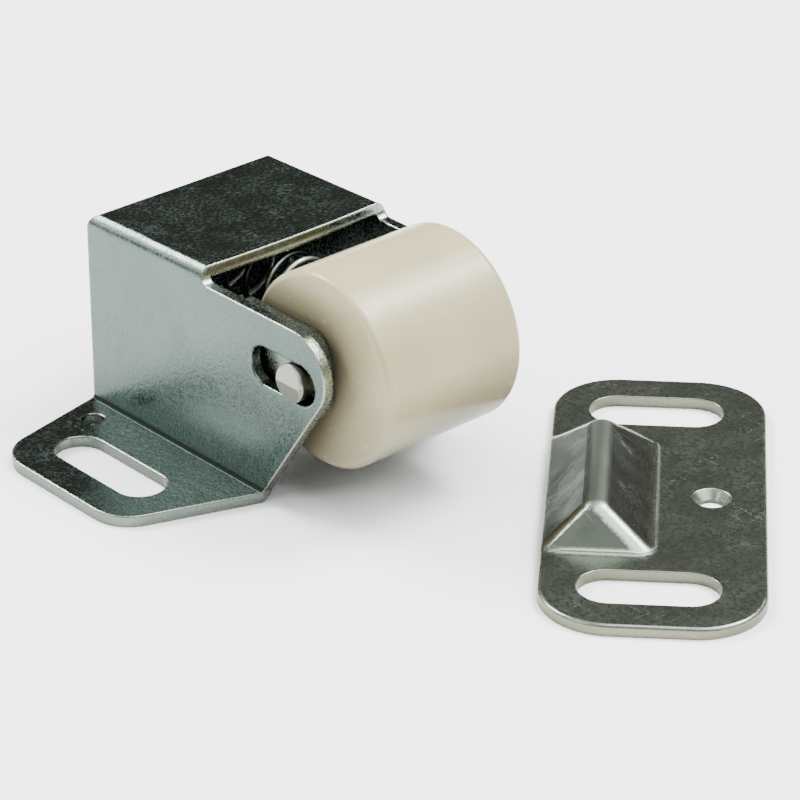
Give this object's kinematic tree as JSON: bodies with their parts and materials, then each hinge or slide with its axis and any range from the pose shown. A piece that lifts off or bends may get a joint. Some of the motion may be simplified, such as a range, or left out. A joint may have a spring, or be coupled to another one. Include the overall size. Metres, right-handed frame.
{
  "type": "roller catch",
  "caption": "Spring-loaded roller held in a folded steel bracket with slotted feet, beside its flat slotted strike plate with a pressed ridge.",
  "frame": {"origin": "on the mounting surface, midway between the two small round locating holes of the bracket's feet", "axes": "+X along the roller's axle, -Y from the bracket towards the roller, +Z away from the mounting surface"},
  "size_m": [0.0618, 0.0715, 0.0239],
  "materials": {
    "zinc_bracket": "bright zinc plate, clear passivated",
    "zinc_yoke": "bright zinc plate",
    "nylon": "moulded natural nylon, slight sheen",
    "zinc_pin": "bright zinc plate, cropped ends",
    "spring_wire": "drawn spring wire, lightly plated",
    "zinc_strike": "zinc plate with a satin rolled grain"
  },
  "bodies": {
    "catch_body": {"housing": "zinc_bracket", "strike_plate": "zinc_strike", "spring": "spring_wire"},
    "carriage": {"yoke": "zinc_yoke", "axle_pin": "zinc_pin"},
    "wheel": {"roller": "nylon"}
  },
  "joints": [
    {"name": "carriage_slide", "type": "slide", "parent": "catch_body", "child": "carriage", "axis": [0, 1, 0], "range_m": [-0.0009, 0.0041], "stiffness_N_per_m": 900, "deforming": ["spring"]},
    {"name": "roller_spin", "type": "hinge", "parent": "carriage", "child": "wheel", "pos_m": [0, -0.0267, 0.0144], "axis": [1, 0, 0], "continuous": true}
  ]
}
